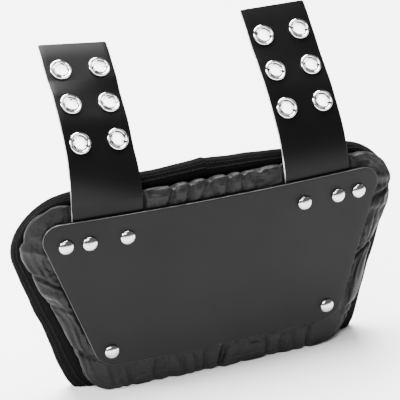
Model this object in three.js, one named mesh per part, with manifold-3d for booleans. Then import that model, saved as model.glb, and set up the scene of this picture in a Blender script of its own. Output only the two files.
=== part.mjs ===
// A football back plate: a bowed plastic plate riveted over a gathered fabric pad, with two plastic straps
// whose grommets take the screws of a pair of shoulder pads.
import * as THREE from "three";
import { mergeVertices } from "three/addons/utils/BufferGeometryUtils.js";
import Module from "manifold-3d";

const wasm = await Module();
wasm.setup();

// Millimetres. X runs across the back, Y from the plate's outer face towards the wearer, and Z up.
// Depths are counted from the plate's outer face, and heights from the plate's lower edge.
const GAP = 0.3; // clearance between pieces that touch

// Back plate: a trapezoid of plastic sheet, bowed across its width
const PLATE_HEIGHT = 140;
const PLATE_TOP_WIDTH = 309; // between the corners before they are rounded
const PLATE_BOTTOM_WIDTH = 217;
const PLATE_THICKNESS = 3;
const PLATE_TOP_RADIUS = 15;
const PLATE_BOTTOM_RADIUS = 20;
const PLATE_BEVEL = 0.5;
const BOW_RADIUS = 1667;

// Straps: flat plastic strips between the plate and the pad
const STRAP_WIDTH = 59.6;
const STRAP_THICKNESS = 2.5;
const STRAP_CENTRE = 92.8; // from the middle of the plate
const STRAP_TUCK = 33; // the length behind the plate
const STRAP_FREE = 156.5; // the length above the plate's top edge
const BEND_STEP = 9; // the longest straight run that a bend is drawn with
const BEND_SLICES = 12; // how finely a bend is added up along its length
const STRAP_FLAT = 10; // how far the strap stays flat on each side of a row of grommets
const LEFT_STRAP_STRAIGHT = 11.6; // the length above the plate that goes straight up
const RIGHT_STRAP_STRAIGHT = 2;
const LEFT_STRAP_SWAY = 1.4; // degrees that the strap leans to the right, seen from the front
const RIGHT_STRAP_SWAY = -2.8;

// Grommets: two columns and three rows in each strap
const HOLE_PITCH = 33.5;
const STRAP_END_MARGIN = 26.2; // from the top row to the strap's end
const GROMMET_DIAMETER = 18.6;
const GROMMET_BARREL = 12.6; // the tube that passes through the strap
const GROMMET_BORE = 9.6;
const GROMMET_RISE = 2.1; // how far the rolled flange stands off the strap
const GROMMET_CREST = 2; // the width of the flange's flat top
const GROMMET_EDGE = 0.3;
const WASHER_DIAMETER = 17.4; // the ring that closes the grommet behind the strap
const WASHER_RISE = 1.5;

// Rivets: domed heads on plain shanks
const RIVET_HEAD = 13;
const RIVET_DOME = 4;
const RIVET_SHANK = 4.4;
const RIVET_TAIL = 8; // the peened end behind a strap
const RIVET_TAIL_THICKNESS = 1.2;
const RIVET_BITE = 8; // how far a pad rivet's shank goes into the pad
const TOP_RIVET_DROP = 20.5; // from the plate's top edge
const BOTTOM_RIVET_RISE = 14.5; // from the plate's lower edge
const STRAP_RIVET_INNER = 78.6; // from the middle of the plate
const STRAP_RIVET_OUTER = 110.3;
const PAD_RIVET_UPPER = 130;
const PAD_RIVET_LOWER = 98.7;

// Pad: foam in a gathered cover, a flange round it, and a panel on the wearer's side
const PAD_DROP = 27.5; // from the plate's lower edge down to what the pad stands on
const COVER_RISE = 17; // the front edge of the cover above the plate
const COVER_TOP_MARGIN = 26; // beyond the plate's side, at the top and at the bottom
const COVER_BOTTOM_MARGIN = 7.5;
const COVER_TOP_RADIUS = 35;
const COVER_BOTTOM_RADIUS = 30;
const COVER_CROWN = 8.5; // how far the top edge falls from its middle to the corner
const EDGE_RISE = 25; // the same sizes for the bound outer edge
const EDGE_TOP_MARGIN = 29.5;
const EDGE_BOTTOM_MARGIN = 21;
const EDGE_TOP_RADIUS = 44;
const EDGE_BOTTOM_RADIUS = 38;
const EDGE_CROWN = 20;
const EDGE_SQUASH = 12.5; // how much of the soft edge the floor presses flat
const PAD_THICKNESS = 21; // foam and cover, behind the plate
const SEAM_TUCK = 3.5; // how far the cover is drawn in where it meets the flange
const BACK_PANEL_THICKNESS = 2.2;
const BACK_PANEL_CROWN = 4;
const TAPE_THICKNESS = 1.1;
const FLANGE_THICKNESS = 1.8;
const SEAM_SHARE = 0.55; // where the seam lies in the pad's thickness, from the front
const SEAM_REACH = 2.25; // where the flange starts, between the cover's edge at 2 and the bound edge at 3
const TAPE_REACH = 2.35; // where the tape starts on the flange
const BACK_PANEL_SHOULDER = 0.75; // the share of its crown that the panel has behind the plate's edge
const TAPE_LIP = 9; // the tape's width on the wearer's side
const TAPE_EASE = 0.6; // clearance between the tape and the edge that it wraps
const GATHER_DEPTH = 3;
const GATHER_WIDTH = 8;

// How a strap bends: straight up from the plate, flat at each row of grommets and evenly bent between them.
// lean is its angle back from upright, and turn carries its outer edge back, both in degrees.
const LEFT_BEND = {
  edge: { lean: 0, turn: 0 },
  lower: { lean: 35, turn: -13.4 },
  middle: { lean: 50.9, turn: -13.7 },
  upper: { lean: 51.9, turn: -9.6 },
  end: { lean: 61.7, turn: -9.6 },
};
const RIGHT_BEND = {
  edge: { lean: 0, turn: 0 },
  lower: { lean: 35, turn: 2.2 },
  middle: { lean: 44.5, turn: 3.2 },
  upper: { lean: 41.7, turn: 1.8 },
  end: { lean: 47.6, turn: 1.8 },
};

// The pad's section, from behind the plate out to the seam. reach is 1 at the plate's outline, 2 at the
// cover's front edge and 3 at the bound edge, depth is a share of the pad's thickness, tuck is a share of
// the seam's, and gather says how much of the gathers reaches there.
const COVER_SECTION = [
  { reach: 0.4, depth: 0, tuck: 0, gather: 0 },
  { reach: 0.7, depth: 0, tuck: 0, gather: 0 },
  { reach: 0.97, depth: 0, tuck: 0, gather: 0 },
  { reach: 1.2, depth: 0.01, tuck: 0, gather: 0.35 },
  { reach: 1.5, depth: 0.01, tuck: 0, gather: 0.7 },
  { reach: 1.85, depth: 0.03, tuck: 0, gather: 1 },
  { reach: 2, depth: 0.1, tuck: 0, gather: 1 },
  { reach: 2, depth: 0.3, tuck: 0.3, gather: 1 },
  { reach: 2, depth: 0.5, tuck: 1, gather: 0.6 },
];

// The larger gathers of the cover. at is a share of the plate's height on a side, from its lower edge, and
// of half its width at the top and bottom, from its middle. out and dip are shares of the gathers' depth,
// and width is a share of their width.
const GATHERS = [
  { side: "left", at: 0.83, out: 0.8, dip: -0.2, width: 1 },
  { side: "left", at: 0.71, out: 0.3, dip: 0.3, width: 0.7 },
  { side: "left", at: 0.62, out: -1, dip: 0.5, width: 0.9 },
  { side: "left", at: 0.52, out: 0.5, dip: -0.2, width: 1 },
  { side: "left", at: 0.36, out: -0.4, dip: 0.4, width: 0.8 },
  { side: "left", at: 0.08, out: -1, dip: 0.6, width: 0.8 },
  { side: "left", at: -0.02, out: 0.6, dip: 0, width: 1 },
  { side: "right", at: 0.9, out: 0.9, dip: 0, width: 1.1 },
  { side: "right", at: 0.79, out: -0.6, dip: 0.3, width: 0.7 },
  { side: "right", at: 0.71, out: 1, dip: 0, width: 0.9 },
  { side: "right", at: 0.42, out: -0.4, dip: 0.8, width: 0.7 },
  { side: "right", at: 0.02, out: -0.5, dip: 0.3, width: 0.8 },
  { side: "top", at: -0.31, out: -0.2, dip: 0.7, width: 0.7 },
  { side: "top", at: -0.21, out: -0.3, dip: 0.9, width: 0.7 },
  { side: "top", at: -0.11, out: -0.2, dip: 0.8, width: 0.6 },
  { side: "top", at: 0.02, out: -0.2, dip: 0.6, width: 0.6 },
  { side: "top", at: 0.1, out: -0.1, dip: 0.6, width: 0.6 },
  { side: "bottom", at: -0.56, out: 0, dip: 0.4, width: 0.7 },
  { side: "bottom", at: -0.39, out: 0, dip: 0.5, width: 0.7 },
  { side: "bottom", at: -0.28, out: 0, dip: 0.5, width: 0.7 },
  { side: "bottom", at: -0.14, out: 0, dip: 0.9, width: 0.7 },
  { side: "bottom", at: 0.09, out: 0, dip: 1, width: 0.8 },
  { side: "bottom", at: 0.5, out: 0, dip: 0.4, width: 0.7 },
];

const FLOOR = -PAD_DROP;
const PAD_FRONT_DEPTH = PLATE_THICKNESS + GAP;
const PAD_BACK_DEPTH = PAD_FRONT_DEPTH + PAD_THICKNESS;

// The bow of the plate, which every piece behind it follows
function bow(x) {
  return (x * x) / (2 * BOW_RADIUS);
}

// A flat strip laid against the bow stands off it by this much
const STRAP_STANDOFF = bow(STRAP_WIDTH / 2);
const STRAP_DEPTH = PLATE_THICKNESS + GAP + STRAP_STANDOFF;

// Finishes
function finish(color, roughness, metalness) {
  return new THREE.MeshStandardMaterial({ color, roughness, metalness });
}
const satinPlastic = () => finish(0x3e3e3f, 0.5, 0);
const blackPlastic = () => finish(0x1c1c1d, 0.4, 0);
const nickel = () => finish(0xd6d6d6, 0.2, 1);
const nylon = () => finish(0x474748, 0.75, 0);
const panelCloth = () => finish(0x232324, 0.9, 0);
const tapeCloth = () => finish(0x2a2a2b, 0.8, 0);

// Booleans and closed meshes
function solidOf(geometry) {
  const bare = geometry.index ? geometry.toNonIndexed() : geometry.clone();
  bare.deleteAttribute("normal");
  bare.deleteAttribute("uv");
  const merged = mergeVertices(bare, 1e-4);
  const corners = Array.from(merged.index.array);
  const faces = [];
  for (let i = 0; i < corners.length; i += 3) {
    const [a, b, c] = corners.slice(i, i + 3);
    if (a !== b && b !== c && c !== a) faces.push(a, b, c);
  }
  return new wasm.Manifold(
    new wasm.Mesh({
      numProp: 3,
      vertProperties: merged.attributes.position.array,
      triVerts: new Uint32Array(faces),
    }),
  );
}

function geometryOf(solid) {
  const mesh = solid.getMesh();
  const geometry = new THREE.BufferGeometry();
  geometry.setAttribute("position", new THREE.BufferAttribute(mesh.vertProperties, 3));
  geometry.setIndex(new THREE.BufferAttribute(mesh.triVerts, 1));
  geometry.computeVertexNormals();
  return geometry;
}

// A skin through rings of equal length, closed by a fan at each end or, for a hoop, back onto itself
function loft(rings, ends) {
  const count = rings[0].length;
  const points = rings.flat();
  const faces = [];
  const bands = ends ? rings.length - 1 : rings.length;
  for (let band = 0; band < bands; band++) {
    const near = band * count;
    const far = ((band + 1) % rings.length) * count;
    for (let i = 0; i < count; i++) {
      const next = (i + 1) % count;
      faces.push(near + i, near + next, far + i, near + next, far + next, far + i);
    }
  }
  if (ends) {
    const last = (rings.length - 1) * count;
    const first = points.push(ends[0], ends[1]) - 2;
    for (let i = 0; i < count; i++) {
      const next = (i + 1) % count;
      faces.push(first, next, i, first + 1, last + i, last + next);
    }
  }
  const geometry = new THREE.BufferGeometry().setFromPoints(points);
  geometry.setIndex(faces);
  geometry.computeVertexNormals();
  return geometry;
}

// A trapezoid with round corners and a crowned top, as points that run clockwise from the top left, each
// with the outline's outward direction there
const PLAIN = { top: 9, side: 4, bottom: 6, corner: 5 };
const SMOOTH = { top: 16, side: 9, bottom: 14, corner: 6 };
const GATHERED = { top: 32, side: 18, bottom: 28, corner: 6 };

// The shares of the way to the outline at which a broad face has its inner rings
const MIDDLE_REACH = 0.4;
const MARGIN_REACH = 0.7;

function outline(shape, counts, inset = 0) {
  const height = shape.top - shape.bottom;
  const slope = Math.atan2(shape.halfTop - shape.halfBottom, height);
  const centreX = (half, z, radius, away) =>
    half - (radius + (z - away) * Math.sin(slope)) / Math.cos(slope);
  const topZ = shape.top - shape.topRadius;
  const bottomZ = shape.bottom + shape.bottomRadius;
  const topX = centreX(shape.halfTop, shape.top, shape.topRadius, topZ);
  const bottomX = centreX(shape.halfBottom, shape.bottom, shape.bottomRadius, bottomZ);
  const right = Math.PI / 2 + slope;
  const left = 2 * Math.PI - right;
  const corners = [
    { x: topX, z: topZ, radius: shape.topRadius, from: 0, to: right, run: counts.side },
    { x: bottomX, z: bottomZ, radius: shape.bottomRadius, from: right, to: Math.PI, run: counts.bottom },
    { x: -bottomX, z: bottomZ, radius: shape.bottomRadius, from: Math.PI, to: left, run: counts.side },
    { x: -topX, z: topZ, radius: shape.topRadius, from: left, to: 2 * Math.PI, run: counts.top },
  ];
  const onArc = (corner, angle) => ({
    x: corner.x + (corner.radius - inset) * Math.sin(angle),
    z: corner.z + (corner.radius - inset) * Math.cos(angle),
    outX: Math.sin(angle),
    outZ: Math.cos(angle),
  });
  const points = [];
  corners.forEach((corner, index) => {
    for (let i = 0; i <= counts.corner; i++) {
      points.push(onArc(corner, THREE.MathUtils.lerp(corner.from, corner.to, i / counts.corner)));
    }
    const after = corners[(index + 1) % corners.length];
    const start = onArc(corner, corner.to);
    const end = onArc(after, after.from);
    for (let i = 1; i < corner.run; i++) {
      points.push({ ...start, ...between(start, end, i / corner.run) });
    }
  });
  for (const point of points) {
    const share = Math.max(0, (point.z - shape.bottom) / height);
    point.z -= shape.crown * share * (point.x / shape.halfTop) ** 2;
    point.z = Math.max(point.z, shape.floor + inset);
  }
  return points;
}

function between(a, b, share) {
  return { x: THREE.MathUtils.lerp(a.x, b.x, share), z: THREE.MathUtils.lerp(a.z, b.z, share) };
}

const PLATE_SHAPE = {
  top: PLATE_HEIGHT,
  bottom: 0,
  halfTop: PLATE_TOP_WIDTH / 2,
  halfBottom: PLATE_BOTTOM_WIDTH / 2,
  topRadius: PLATE_TOP_RADIUS,
  bottomRadius: PLATE_BOTTOM_RADIUS,
  crown: 0,
  floor: FLOOR,
};
const COVER_SHAPE = {
  top: PLATE_HEIGHT + COVER_RISE,
  bottom: FLOOR,
  halfTop: PLATE_TOP_WIDTH / 2 + COVER_TOP_MARGIN,
  halfBottom: PLATE_BOTTOM_WIDTH / 2 + COVER_BOTTOM_MARGIN,
  topRadius: COVER_TOP_RADIUS,
  bottomRadius: COVER_BOTTOM_RADIUS,
  crown: COVER_CROWN,
  floor: FLOOR,
};
const EDGE_SHAPE = {
  top: PLATE_HEIGHT + EDGE_RISE,
  bottom: FLOOR - EDGE_SQUASH,
  halfTop: PLATE_TOP_WIDTH / 2 + EDGE_TOP_MARGIN,
  halfBottom: PLATE_BOTTOM_WIDTH / 2 + EDGE_BOTTOM_MARGIN,
  topRadius: EDGE_TOP_RADIUS,
  bottomRadius: EDGE_BOTTOM_RADIUS,
  crown: EDGE_CROWN,
  floor: FLOOR,
};

// A ring of the pad: reach is 0 at the plate's centre, 1 at its outline, 2 at the cover's front edge and 3
// at the bound edge
function padRing(reach, inset, depth, counts, move) {
  const centre = outline(PLATE_SHAPE, counts).map((p) => ({ ...p, x: 0, z: PLATE_HEIGHT / 2 }));
  const stages = [
    centre,
    outline(PLATE_SHAPE, counts),
    outline(COVER_SHAPE, counts, inset),
    outline(EDGE_SHAPE, counts, inset),
  ];
  const stage = Math.min(Math.floor(reach), stages.length - 2);
  return stages[stage].map((from, i) => {
    const to = stages[stage + 1][i];
    const point = { ...to, ...between(from, to, reach - stage) };
    const { out, dip } = move ? move(point) : { out: 0, dip: 0 };
    const x = point.x + out * point.outX;
    const z = Math.max(point.z + out * point.outZ, FLOOR + inset);
    return new THREE.Vector3(x, depth + dip + bow(x), z);
  });
}

// Where a piece is seated: a point, the direction across it, its outward face and the way up along it
function frameOf(origin, across, outward) {
  return { origin, across, outward, along: new THREE.Vector3().crossVectors(outward, across) };
}

function plateFrame(x, z, depth = 0) {
  const angle = Math.atan(x / BOW_RADIUS);
  return frameOf(
    new THREE.Vector3(x, depth + bow(x), z),
    new THREE.Vector3(Math.cos(angle), Math.sin(angle), 0),
    new THREE.Vector3(Math.sin(angle), -Math.cos(angle), 0),
  );
}

function seat(object, frame) {
  const basis = new THREE.Matrix4().makeBasis(frame.across, frame.outward, frame.along.clone().negate());
  object.quaternion.setFromRotationMatrix(basis);
  object.position.copy(frame.origin);
  object.updateMatrix();
  return object;
}

// Turned pieces: their axis points out of the face that they sit in
const TURNS = 12;
const DOME_ARCS = 3;

function turned(profile) {
  return new THREE.LatheGeometry(profile.map(([r, y]) => new THREE.Vector2(r, y)).reverse(), TURNS);
}

function cutter(radius, low, high, frame) {
  const drill = new THREE.CylinderGeometry(radius, radius, high - low, TURNS);
  drill.translate(0, (low + high) / 2, 0);
  return solidOf(drill.applyMatrix4(seat(new THREE.Object3D(), frame).matrix));
}

// Straps
const STRAPS = [
  {
    name: "left",
    side: -1,
    sway: LEFT_STRAP_SWAY,
    straight: LEFT_STRAP_STRAIGHT,
    bend: LEFT_BEND,
  },
  {
    name: "right",
    side: 1,
    sway: RIGHT_STRAP_SWAY,
    straight: RIGHT_STRAP_STRAIGHT,
    bend: RIGHT_BEND,
  },
];

// The distance of each row of grommets above the plate's top edge
const UPPER_ROW = STRAP_FREE - STRAP_END_MARGIN;
const ROWS = { upper: UPPER_ROW, middle: UPPER_ROW - HOLE_PITCH, lower: UPPER_ROW - 2 * HOLE_PITCH };

// Where a strap's bends begin and end, with its lean and turn there
function bendKnots(strap) {
  const flat = (row) => [
    { distance: ROWS[row] - STRAP_FLAT, ...strap.bend[row] },
    { distance: ROWS[row] + STRAP_FLAT, ...strap.bend[row] },
  ];
  return [
    { distance: 0, ...strap.bend.edge },
    { distance: strap.straight, ...strap.bend.edge },
    ...flat("lower"),
    ...flat("middle"),
    ...flat("upper"),
    { distance: STRAP_FREE, ...strap.bend.end },
  ];
}

// The strap's frame at a distance along it from the plate's top edge, and offset across it
function strapFrame(strap, distance, offset = 0) {
  const { lerp, clamp, degToRad } = THREE.MathUtils;
  const knots = bendKnots(strap);
  const point = new THREE.Vector3(0, 0, Math.min(distance, 0));
  const upAt = (lean) => new THREE.Vector3(0, Math.sin(degToRad(lean)), Math.cos(degToRad(lean)));
  let { lean, turn } = knots[0];
  for (let i = 1; i < knots.length; i++) {
    const [from, to] = [knots[i - 1], knots[i]];
    const length = to.distance - from.distance;
    const run = clamp(distance - from.distance, 0, length);
    for (let slice = 0; slice < BEND_SLICES; slice++) {
      const share = (((slice + 0.5) / BEND_SLICES) * run) / length;
      point.addScaledVector(upAt(lerp(from.lean, to.lean, share)), run / BEND_SLICES);
    }
    if (run > 0) {
      lean = lerp(from.lean, to.lean, run / length);
      turn = lerp(from.turn, to.turn, run / length);
    }
  }
  const swing = strap.side * (degToRad(turn) + Math.atan(STRAP_CENTRE / BOW_RADIUS));
  const up = upAt(lean);
  const across = new THREE.Vector3(1, 0, 0).applyAxisAngle(up, swing);
  const outward = new THREE.Vector3().crossVectors(across, up);
  const root = plateFrame(strap.side * STRAP_CENTRE, PLATE_HEIGHT, STRAP_DEPTH);
  for (const vector of [point, across, outward]) {
    vector.applyAxisAngle(root.outward, degToRad(-strap.sway));
  }
  return frameOf(point.add(root.origin).addScaledVector(across, offset), across, outward);
}

// The distances at which a strap's blank is drawn: its bends in short steps, and its flats by their ends
function strapStations(strap) {
  const knots = bendKnots(strap);
  const stations = [knots[0].distance];
  for (let i = 1; i < knots.length; i++) {
    const [from, to] = [knots[i - 1], knots[i]];
    const length = to.distance - from.distance;
    const steps = from.lean === to.lean ? 1 : Math.ceil(length / BEND_STEP);
    for (let step = 1; step <= steps; step++) stations.push(from.distance + (step / steps) * length);
  }
  return stations;
}

// A strap's blank, or the room that it needs: grow widens it, and front and back thicken it
function strapBlank(strap, grow = 0, front = 0, back = 0) {
  const stations = [-STRAP_TUCK - grow, ...strapStations(strap)];
  const half = STRAP_WIDTH / 2 + grow;
  const rings = stations.map((distance) => {
    const frame = strapFrame(strap, distance);
    const corner = (u, v) =>
      frame.origin.clone().addScaledVector(frame.across, u).addScaledVector(frame.outward, v);
    return [
      corner(-half, front),
      corner(half, front),
      corner(half, -STRAP_THICKNESS - back),
      corner(-half, -STRAP_THICKNESS - back),
    ];
  });
  const middle = (ring) => ring[0].clone().add(ring[2]).multiplyScalar(0.5);
  return solidOf(loft(rings, [middle(rings[0]), middle(rings.at(-1))]));
}

function grommetFrames(strap) {
  const frames = [];
  for (const distance of Object.values(ROWS)) {
    for (const column of [-0.5, 0.5]) frames.push(strapFrame(strap, distance, column * HOLE_PITCH));
  }
  return frames;
}

function strapSolid(strap) {
  let solid = strapBlank(strap);
  for (const frame of grommetFrames(strap)) {
    const reach = STRAP_THICKNESS + GAP;
    solid = solid.subtract(cutter(GROMMET_BARREL / 2 + GAP, -2 * reach, reach, frame));
  }
  for (const rivet of rivetSeats(strap.side).filter((r) => r.holds === "strap")) {
    solid = solid.subtract(shankCutter(rivet));
  }
  return solid;
}

// The grommet's section: a rolled flange, a barrel through the strap, and a washer behind it
function grommetShape() {
  const bore = GROMMET_BORE / 2;
  const barrel = GROMMET_BARREL / 2;
  const rim = GROMMET_DIAMETER / 2;
  const washer = WASHER_DIAMETER / 2;
  const back = -STRAP_THICKNESS - GAP;
  const crest = (rim + bore) / 2;
  return [
    [bore, GROMMET_RISE / 2],
    [crest - GROMMET_CREST / 2, GROMMET_RISE],
    [crest + GROMMET_CREST / 2, GROMMET_RISE],
    [rim, GAP + GROMMET_EDGE],
    [rim, GAP],
    [barrel, GAP],
    [barrel, back],
    [washer, back],
    [bore, back - WASHER_RISE],
    [bore, GROMMET_RISE / 2],
  ];
}

// Rivets
function rivetSeats(side) {
  const topZ = PLATE_HEIGHT - TOP_RIVET_DROP;
  return [
    { name: "rivet_inner", holds: "strap", x: STRAP_RIVET_INNER, z: topZ },
    { name: "rivet_outer", holds: "strap", x: STRAP_RIVET_OUTER, z: topZ },
    { name: "rivet_upper", holds: "pad", x: PAD_RIVET_UPPER, z: topZ },
    { name: "rivet_lower", holds: "pad", x: PAD_RIVET_LOWER, z: BOTTOM_RIVET_RISE },
  ].map((rivet) => ({ ...rivet, x: side * rivet.x }));
}

// How far behind the plate's face a rivet's shank ends
function rivetGrip(rivet) {
  if (rivet.holds === "pad") return PAD_FRONT_DEPTH + RIVET_BITE;
  return STRAP_DEPTH + STRAP_THICKNESS + STRAP_STANDOFF + GAP;
}

function rivetShape(rivet) {
  const head = RIVET_HEAD / 2;
  const shank = RIVET_SHANK / 2;
  const grip = rivetGrip(rivet);
  const profile = [];
  for (let i = 0; i <= DOME_ARCS; i++) {
    const angle = (i / DOME_ARCS) * (Math.PI / 2);
    profile.push([i ? head * Math.sin(angle) : 0, GAP + RIVET_DOME * Math.cos(angle)]);
  }
  profile.push([shank, GAP], [shank, -grip]);
  if (rivet.holds === "strap") {
    profile.push([RIVET_TAIL / 2, -grip], [RIVET_TAIL / 2, -grip - RIVET_TAIL_THICKNESS]);
    profile.push([0, -grip - RIVET_TAIL_THICKNESS]);
  } else {
    profile.push([0, -grip]);
  }
  return profile;
}

function shankCutter(rivet) {
  const past = rivetGrip(rivet) + GAP;
  return cutter(RIVET_SHANK / 2 + GAP, -past, GAP, plateFrame(rivet.x, rivet.z));
}

function tailCutter(rivet) {
  const past = rivetGrip(rivet) + RIVET_TAIL_THICKNESS + GAP;
  return cutter(RIVET_TAIL / 2 + GAP, -past, GAP, plateFrame(rivet.x, rivet.z));
}

const ALL_RIVETS = STRAPS.flatMap((strap) => rivetSeats(strap.side));

// Back plate
function plateSolid() {
  const ring = (inset, depth) =>
    outline(PLATE_SHAPE, PLAIN, inset).map((p) => new THREE.Vector3(p.x, depth + bow(p.x), p.z));
  const inner = (share, depth) => padRing(share, 0, depth, PLAIN);
  const rings = [
    inner(MIDDLE_REACH, 0),
    inner(MARGIN_REACH, 0),
    ring(PLATE_BEVEL, 0),
    ring(0, PLATE_BEVEL),
    ring(0, PLATE_THICKNESS),
    inner(MARGIN_REACH, PLATE_THICKNESS),
    inner(MIDDLE_REACH, PLATE_THICKNESS),
  ];
  const centre = (depth) => new THREE.Vector3(0, depth, PLATE_HEIGHT / 2);
  let solid = solidOf(loft(rings, [centre(0), centre(PLATE_THICKNESS)]));
  for (const rivet of ALL_RIVETS) solid = solid.subtract(shankCutter(rivet));
  return solid;
}

// Pad
function gatherAt(point) {
  const faces = { left: [-1, 0], right: [1, 0], top: [0, 1], bottom: [0, -1] };
  let [out, dip] = [0, 0];
  for (const row of GATHERS) {
    const [faceX, faceZ] = faces[row.side];
    const facing = Math.max(0, point.outX * faceX + point.outZ * faceZ) ** 2;
    const away = faceX ? point.z - row.at * PLATE_HEIGHT : point.x - (row.at * PLATE_TOP_WIDTH) / 2;
    const swell = facing * Math.exp(-((away / (row.width * GATHER_WIDTH)) ** 2));
    out += swell * row.out * GATHER_DEPTH;
    dip += swell * row.dip * GATHER_DEPTH;
  }
  return { out, dip };
}

// How deep the flange lies at the seam and at the bound edge, and how far under the tape's outer face
const SEAM_DEPTH = PAD_FRONT_DEPTH + SEAM_SHARE * PAD_THICKNESS;
const FLANGE_DEPTH = PAD_BACK_DEPTH - FLANGE_THICKNESS;
const UNDER_TAPE = TAPE_THICKNESS + TAPE_EASE;

function padFrontSolid() {
  const rings = COVER_SECTION.map((row) =>
    padRing(
      row.reach,
      row.tuck * SEAM_TUCK,
      PAD_FRONT_DEPTH + row.depth * PAD_THICKNESS,
      GATHERED,
      (point) => {
        const { out, dip } = gatherAt(point);
        return { out: out * row.gather, dip: dip * row.gather };
      },
    ),
  );
  rings.push(padRing(SEAM_REACH, UNDER_TAPE, SEAM_DEPTH + UNDER_TAPE, GATHERED));
  rings.push(padRing(3, UNDER_TAPE, FLANGE_DEPTH, GATHERED));
  rings.push(padRing(3, UNDER_TAPE, PAD_BACK_DEPTH, GATHERED));
  rings.push(padRing(MARGIN_REACH, 0, PAD_BACK_DEPTH, GATHERED));
  const centre = (depth) => new THREE.Vector3(0, depth, PLATE_HEIGHT / 2);
  let solid = solidOf(loft(rings, [centre(PAD_FRONT_DEPTH), centre(PAD_BACK_DEPTH)]));
  for (const strap of STRAPS) solid = solid.subtract(strapBlank(strap, GAP, PLATE_THICKNESS, GAP));
  for (const rivet of ALL_RIVETS) {
    solid = solid.subtract(rivet.holds === "pad" ? shankCutter(rivet) : tailCutter(rivet));
  }
  return solid;
}

function padBackSolid() {
  const front = PAD_BACK_DEPTH + GAP;
  const back = front + BACK_PANEL_THICKNESS;
  const rings = [
    padRing(MARGIN_REACH, 0, front, SMOOTH),
    padRing(3, UNDER_TAPE, front, SMOOTH),
    padRing(3, UNDER_TAPE, back, SMOOTH),
    padRing(3, TAPE_LIP + GAP, back, SMOOTH),
    padRing(1, 0, back + BACK_PANEL_SHOULDER * BACK_PANEL_CROWN, SMOOTH),
    padRing(MIDDLE_REACH, 0, back + BACK_PANEL_CROWN, SMOOTH),
  ];
  const centre = (depth) => new THREE.Vector3(0, depth, PLATE_HEIGHT / 2);
  return solidOf(loft(rings, [centre(front), centre(back + BACK_PANEL_CROWN)]));
}

// The tape lies on the flange, folds round the edge and ends in a lip on the wearer's side
function padBindingSolid() {
  const back = PAD_BACK_DEPTH + GAP + BACK_PANEL_THICKNESS + GAP;
  const rings = [
    padRing(TAPE_REACH, 0, SEAM_DEPTH, SMOOTH),
    padRing(3, 0, FLANGE_DEPTH - UNDER_TAPE, SMOOTH),
    padRing(3, 0, back + TAPE_THICKNESS, SMOOTH),
    padRing(3, TAPE_LIP, back + TAPE_THICKNESS, SMOOTH),
    padRing(3, TAPE_LIP, back, SMOOTH),
    padRing(3, TAPE_THICKNESS, back, SMOOTH),
    padRing(3, TAPE_THICKNESS, FLANGE_DEPTH - GAP, SMOOTH),
    padRing(TAPE_REACH, TAPE_THICKNESS, SEAM_DEPTH + TAPE_THICKNESS, SMOOTH),
  ];
  return solidOf(loft(rings));
}

const model = new THREE.Group();

function add(name, geometry, material, frame) {
  const mesh = new THREE.Mesh(geometry, material);
  mesh.name = name;
  if (frame) seat(mesh, frame);
  model.add(mesh);
}

add("back_plate", geometryOf(plateSolid()), satinPlastic());
add("pad_front", geometryOf(padFrontSolid()), nylon());
add("pad_back", geometryOf(padBackSolid()), panelCloth());
add("pad_binding", geometryOf(padBindingSolid()), tapeCloth());
for (const strap of STRAPS) {
  add(`${strap.name}_strap`, geometryOf(strapSolid(strap)), blackPlastic());
  grommetFrames(strap).forEach((frame, i) => {
    add(`${strap.name}_grommet_${i + 1}`, turned(grommetShape()), nickel(), frame);
  });
  for (const rivet of rivetSeats(strap.side)) {
    const shape = turned(rivetShape(rivet));
    add(`${strap.name}_${rivet.name}`, shape, nickel(), plateFrame(rivet.x, rivet.z));
  }
}

// The origin is the middle of the floor that the pad stands on
model.updateMatrixWorld(true);
const box = new THREE.Box3().setFromObject(model, true);
const middle = box.getCenter(new THREE.Vector3());
model.position.set(-middle.x, -middle.y, -box.min.z);

export default model;
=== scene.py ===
# A football back plate, standing on the lower edge of its pad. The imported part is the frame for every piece.
# Sizes below are in millimetres, and become metres where a mesh is made.
import math

import bmesh
import bpy
import numpy as np
from mathutils import Matrix, Vector


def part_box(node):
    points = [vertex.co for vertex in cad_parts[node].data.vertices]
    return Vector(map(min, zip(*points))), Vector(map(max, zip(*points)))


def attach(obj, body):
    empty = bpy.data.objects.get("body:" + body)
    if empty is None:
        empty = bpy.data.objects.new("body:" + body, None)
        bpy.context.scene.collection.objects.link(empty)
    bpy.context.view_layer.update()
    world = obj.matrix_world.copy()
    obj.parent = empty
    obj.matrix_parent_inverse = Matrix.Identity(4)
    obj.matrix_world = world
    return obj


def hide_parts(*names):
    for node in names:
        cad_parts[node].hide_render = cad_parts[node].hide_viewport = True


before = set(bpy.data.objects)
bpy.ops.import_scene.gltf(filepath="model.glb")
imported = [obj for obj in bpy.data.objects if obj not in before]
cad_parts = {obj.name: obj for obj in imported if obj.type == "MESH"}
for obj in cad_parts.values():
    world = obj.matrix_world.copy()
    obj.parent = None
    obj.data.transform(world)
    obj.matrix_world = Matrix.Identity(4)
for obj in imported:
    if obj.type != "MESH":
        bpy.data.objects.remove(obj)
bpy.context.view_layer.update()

# Camera
# A long lens, about 1.4 m away, looks down on the plate from its left. It is tipped by a small turn, as the
# photograph is.
SENSOR_WIDTH = 36
LENS = 144
CAMERA_FROM_PLATE = Vector((-0.39082, -1.12558, 0.71908))
CAMERA_TURN = (64.03, 2.243, -19.537)
VIEW_LENGTH = 20
plate_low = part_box("back_plate")[0]


def put(name, data):
    """An object made of a mesh, a light or a camera, and put in the scene."""
    made = bpy.data.objects.new(name, data)
    bpy.context.scene.collection.objects.link(made)
    return made


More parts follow.
